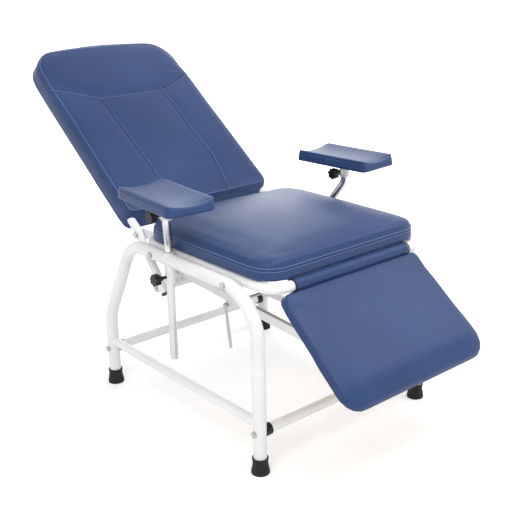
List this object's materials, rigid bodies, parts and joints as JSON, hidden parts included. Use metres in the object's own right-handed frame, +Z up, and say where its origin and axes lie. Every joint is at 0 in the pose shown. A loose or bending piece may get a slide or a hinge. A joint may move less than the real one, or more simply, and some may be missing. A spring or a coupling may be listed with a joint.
{
  "type": "phlebotomy chair",
  "caption": "Reclining blood-sampling chair with padded seat, tilting backrest, linked leg rest and two height-adjustable swivelling armrests on a white tube frame.",
  "frame": {"origin": "on the floor, midway between the four feet", "axes": "+Z up; -Y the way the sitter faces; -X the side with the release lever; +Y towards the backrest"},
  "size_m": [0.7398, 1.3408, 0.8713],
  "materials": {
    "white_paint": "semi-gloss powder coat",
    "black_plastic": "satin",
    "grey_plastic": "matte",
    "pale_plastic": "matte",
    "zinc_steel": "zinc plated",
    "black_rubber": "matte",
    "plywood": "unfinished plywood",
    "navy_vinyl": "soft vinyl, low sheen",
    "chrome": "polished"
  },
  "bodies": {
    "frame": {"left_side_frame": "white_paint", "right_side_frame": "white_paint", "left_side_brace": "white_paint", "right_side_brace": "white_paint", "front_cross_brace": "white_paint", "rear_cross_brace": "white_paint", "brace_saddles": "black_plastic", "brace_inserts": "grey_plastic", "leg_bolts": "zinc_steel", "front_feet": "black_rubber", "rear_feet": "black_rubber", "seat_frame": "white_paint", "rail_bolts": "zinc_steel", "rail_nuts": "zinc_steel", "seat_board": "plywood", "seat_screws": "zinc_steel", "seat_cushion": "navy_vinyl", "pivot_ears": "white_paint", "pivot_bolts": "zinc_steel", "hinge_rings": "black_plastic", "left_arm_socket": "white_paint", "right_arm_socket": "white_paint"},
    "backrest": {"left_back_tube": "white_paint", "right_back_tube": "white_paint", "back_top_bar": "white_paint", "lever_cross_tube": "white_paint", "lever_plugs": "black_plastic", "pivot_bushes": "grey_plastic", "back_board": "plywood", "back_board_bolts": "zinc_steel", "back_pad": "navy_vinyl", "back_panel": "navy_vinyl", "link_brackets": "white_paint", "link_rear_pins": "zinc_steel"},
    "links": {"left_link_bar": "white_paint", "right_link_bar": "white_paint"},
    "release": {"release_rod": "zinc_steel", "release_nub": "zinc_steel"},
    "legrest": {"leg_hinge_tube": "white_paint", "leg_roll": "navy_vinyl", "left_leg_arm": "white_paint", "right_leg_arm": "white_paint", "leg_board": "plywood", "leg_pad": "navy_vinyl", "link_front_pins": "zinc_steel"},
    "left_sleeve": {"left_liner": "pale_plastic"},
    "left_post": {"left_post": "chrome"},
    "left_armrest": {"left_arm_bracket": "white_paint", "left_arm_board": "plywood", "left_arm_pad": "navy_vinyl"},
    "left_lower_knob": {"left_height_knob": "black_plastic"},
    "left_upper_knob": {"left_swivel_knob": "black_plastic"},
    "right_sleeve": {"right_liner": "pale_plastic"},
    "right_post": {"right_post": "chrome"},
    "right_armrest": {"right_arm_bracket": "white_paint", "right_arm_board": "plywood", "right_arm_pad": "navy_vinyl"},
    "right_lower_knob": {"right_height_knob": "black_plastic"},
    "right_upper_knob": {"right_swivel_knob": "black_plastic"}
  },
  "joints": [
    {"name": "backrest_recline", "type": "hinge", "parent": "frame", "child": "backrest", "pos_m": [0, 0.2205, 0.4465], "axis": [1, 0, 0], "range_deg": [-12, 32]},
    {"name": "legrest_swing", "type": "hinge", "parent": "frame", "child": "legrest", "pos_m": [0, -0.331, 0.4465], "axis": [1, 0, 0], "range_deg": [-12, 25]},
    {"name": "link_pivot", "type": "hinge", "parent": "backrest", "child": "links", "pos_m": [0, 0.143, 0.347], "axis": [1, 0, 0], "range_deg": [-33, 13]},
    {"name": "release_swing", "type": "hinge", "parent": "links", "child": "release", "pos_m": [0, -0.062, 0.31359], "axis": [1, 0, 0], "range_deg": [-15, 15], "stiffness_Nm_per_rad": 0.5},
    {"name": "left_post_turn", "type": "hinge", "parent": "frame", "child": "left_sleeve", "pos_m": [-0.275, 0.016, 0.418], "axis": [0, 0, 1], "range_deg": [-60, 35]},
    {"name": "left_post_height", "type": "slide", "parent": "left_sleeve", "child": "left_post", "axis": [0, 0, 1], "range_m": [-0.005, 0.15]},
    {"name": "left_armrest_turn", "type": "hinge", "parent": "left_post", "child": "left_armrest", "pos_m": [-0.298, -0.015, 0.57], "axis": [0, 0, 1], "range_deg": [-45, 45]},
    {"name": "left_lower_knob_turn", "type": "hinge", "parent": "frame", "child": "left_lower_knob", "pos_m": [-0.275, 0.016, 0.397], "axis": [-1, 0, 0], "range_deg": [-180, 180]},
    {"name": "left_upper_knob_turn", "type": "hinge", "parent": "left_armrest", "child": "left_upper_knob", "pos_m": [-0.298, -0.015, 0.567], "axis": [-1, 0, 0], "range_deg": [-180, 180]},
    {"name": "right_post_turn", "type": "hinge", "parent": "frame", "child": "right_sleeve", "pos_m": [0.275, 0.016, 0.418], "axis": [0, 0, 1], "range_deg": [-35, 60]},
    {"name": "right_post_height", "type": "slide", "parent": "right_sleeve", "child": "right_post", "axis": [0, 0, 1], "range_m": [-0.005, 0.15]},
    {"name": "right_armrest_turn", "type": "hinge", "parent": "right_post", "child": "right_armrest", "pos_m": [0.298, -0.015, 0.57], "axis": [0, 0, 1], "range_deg": [-45, 45]},
    {"name": "right_lower_knob_turn", "type": "hinge", "parent": "frame", "child": "right_lower_knob", "pos_m": [0.275, 0.016, 0.397], "axis": [1, 0, 0], "range_deg": [-180, 180]},
    {"name": "right_upper_knob_turn", "type": "hinge", "parent": "right_armrest", "child": "right_upper_knob", "pos_m": [0.298, -0.015, 0.567], "axis": [-1, 0, 0], "range_deg": [-180, 180]}
  ],
  "couplings": [
    {"joint": "legrest_swing", "follows": "backrest_recline", "ratio": 0.76},
    {"joint": "link_pivot", "follows": "backrest_recline", "ratio": -1}
  ]
}
